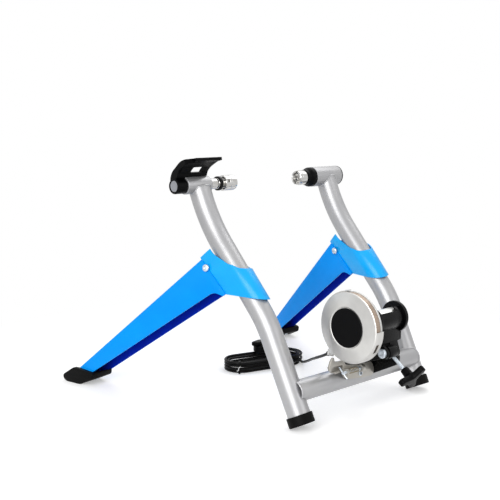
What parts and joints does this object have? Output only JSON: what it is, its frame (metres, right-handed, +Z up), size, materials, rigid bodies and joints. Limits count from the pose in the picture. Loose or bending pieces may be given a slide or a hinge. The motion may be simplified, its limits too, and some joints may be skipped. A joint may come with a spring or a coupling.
{
  "type": "bicycle trainer stand",
  "caption": "Folding rear-wheel bike trainer: silver tube frame, blue channel legs, axle clamps, roller with housing, wired remote.",
  "frame": {"origin": "middle of the stand's footprint on the floor, cord pieces left out", "axes": "+Z up; +Y from the roller side towards the folding legs' feet; +X to the side of the hand nut"},
  "size_m": [0.578, 0.6148, 0.4258],
  "materials": {
    "silver_paint": "satin silver powder coat",
    "blue_sheet": "smooth blue powder coat",
    "blue_collar": "smooth blue powder coat",
    "black_rubber": "matt moulded rubber",
    "black_plastic": "fine-grained moulding",
    "black_metal": "satin black coat",
    "chrome": "polished",
    "zinc": "bright zinc plating",
    "aluminium": "satin die casting",
    "bare_steel": "turned, unplated",
    "cable_jacket": "smooth black jacket"
  },
  "bodies": {
    "frame": {"upright_left": "silver_paint", "upright_right": "silver_paint", "head_tube_left": "silver_paint", "head_tube_right": "silver_paint", "foot_cap_left": "black_rubber", "foot_cap_right": "black_rubber", "end_plug_right": "black_plastic", "crossbar": "silver_paint", "leg_collar_left": "blue_collar", "leg_collar_right": "blue_collar", "hinge_bolt_left": "zinc", "hinge_bolt_right": "zinc", "hinge_nut_left": "zinc", "hinge_nut_right": "zinc", "thread_bush_right": "zinc", "pivot_bolt": "zinc", "base_block": "black_metal", "unit_bracket": "silver_paint", "lock_spring": "zinc", "remote_body": "black_plastic", "remote_band": "black_plastic", "cable_run": "cable_jacket", "cable_coil": "cable_jacket", "cable_tail": "cable_jacket", "cable_tie": "aluminium"},
    "leg_left": {"leg_channel_left": "blue_sheet", "leg_boot_left": "black_rubber", "boot_screw_left": "zinc"},
    "leg_right": {"leg_channel_right": "blue_sheet", "leg_boot_right": "black_rubber", "boot_screw_right": "zinc"},
    "lever": {"clamp_lever": "black_plastic", "lever_disc": "aluminium"},
    "left_spindle": {"clamp_spindle_left": "chrome", "lock_ring_left": "black_metal", "clamp_cup_left": "chrome"},
    "right_nut": {"hand_nut": "black_plastic"},
    "right_spindle": {"spindle_right": "zinc", "clamp_cup_right": "chrome"},
    "unit": {"cradle": "black_metal", "housing_cover": "aluminium", "housing_back": "aluminium", "centre_disc": "black_plastic", "bearing_left": "bare_steel", "bearing_right": "bare_steel", "cable_stop": "black_plastic"},
    "pad": {"screw_pad": "black_plastic"},
    "knob": {"adjust_screw": "zinc", "adjust_knob": "black_plastic"},
    "rotor": {"roller": "zinc", "roller_shaft": "zinc", "rotor_cup": "bare_steel"},
    "magnets": {"magnet_plate": "bare_steel"},
    "plunger": {"lock_pin": "zinc"},
    "thumb_lever": {"remote_lever": "black_plastic"}
  },
  "joints": [
    {"name": "leg_left_fold", "type": "hinge", "parent": "frame", "child": "leg_left", "pos_m": [-0.16705, -0.00179, 0.23853], "axis": [0.9713, 0.188, -0.1456], "range_deg": [-75, 0]},
    {"name": "leg_right_fold", "type": "hinge", "parent": "frame", "child": "leg_right", "pos_m": [0.16705, -0.00179, 0.23853], "axis": [0.9713, -0.188, 0.1456], "range_deg": [-75, 0]},
    {"name": "clamp_lever_turn", "type": "hinge", "parent": "frame", "child": "lever", "pos_m": [0, 0.0459, 0.377], "axis": [1, 0, 0], "range_deg": [0, 66]},
    {"name": "left_spindle_slide", "type": "slide", "parent": "frame", "child": "left_spindle", "axis": [1, 0, 0], "range_m": [0, 0.0121]},
    {"name": "hand_nut_turn", "type": "hinge", "parent": "frame", "child": "right_nut", "pos_m": [0, 0.0459, 0.377], "axis": [1, 0, 0], "range_deg": [0, 900]},
    {"name": "right_spindle_slide", "type": "slide", "parent": "frame", "child": "right_spindle", "axis": [1, 0, 0], "range_m": [-0.0101, 0]},
    {"name": "unit_swing", "type": "hinge", "parent": "frame", "child": "unit", "pos_m": [0, -0.2576, 0.115], "axis": [1, 0, 0], "range_deg": [-4, 12], "deforming": ["cable_run"]},
    {"name": "pad_slide", "type": "slide", "parent": "unit", "child": "pad", "axis": [0, 0.8, 0.6], "range_m": [-0.00345, 0.00116]},
    {"name": "knob_turn", "type": "hinge", "parent": "pad", "child": "knob", "pos_m": [0.0075, -0.24776, 0.10188], "axis": [0, 0.8, 0.6], "range_deg": [-620, 208]},
    {"name": "roller_spin", "type": "hinge", "parent": "unit", "child": "rotor", "pos_m": [0, -0.2389, 0.1654], "axis": [1, 0, 0], "continuous": true},
    {"name": "remote_lever_turn", "type": "hinge", "parent": "frame", "child": "thumb_lever", "pos_m": [0.07, 0.1299, 0.0238], "axis": [0, 0, -1], "range_deg": [0, 60]},
    {"name": "magnet_plate_turn", "type": "hinge", "parent": "unit", "child": "magnets", "pos_m": [0, -0.2389, 0.1654], "axis": [1, 0, 0], "range_deg": [0, 37]},
    {"name": "plunger_pull", "type": "slide", "parent": "frame", "child": "plunger", "axis": [-1, 0, 0], "range_m": [0, 0.008], "deforming": ["lock_spring"]}
  ],
  "couplings": [
    {"joint": "left_spindle_slide", "follows": "clamp_lever_turn", "m_per_rad": 0.010417},
    {"joint": "right_spindle_slide", "follows": "hand_nut_turn", "m_per_rad": -0.00063662},
    {"joint": "pad_slide", "follows": "unit_swing", "m_per_rad": -0.0164},
    {"joint": "knob_turn", "follows": "unit_swing", "ratio": -51.52},
    {"joint": "magnet_plate_turn", "follows": "remote_lever_turn", "ratio": 0.6}
  ]
}
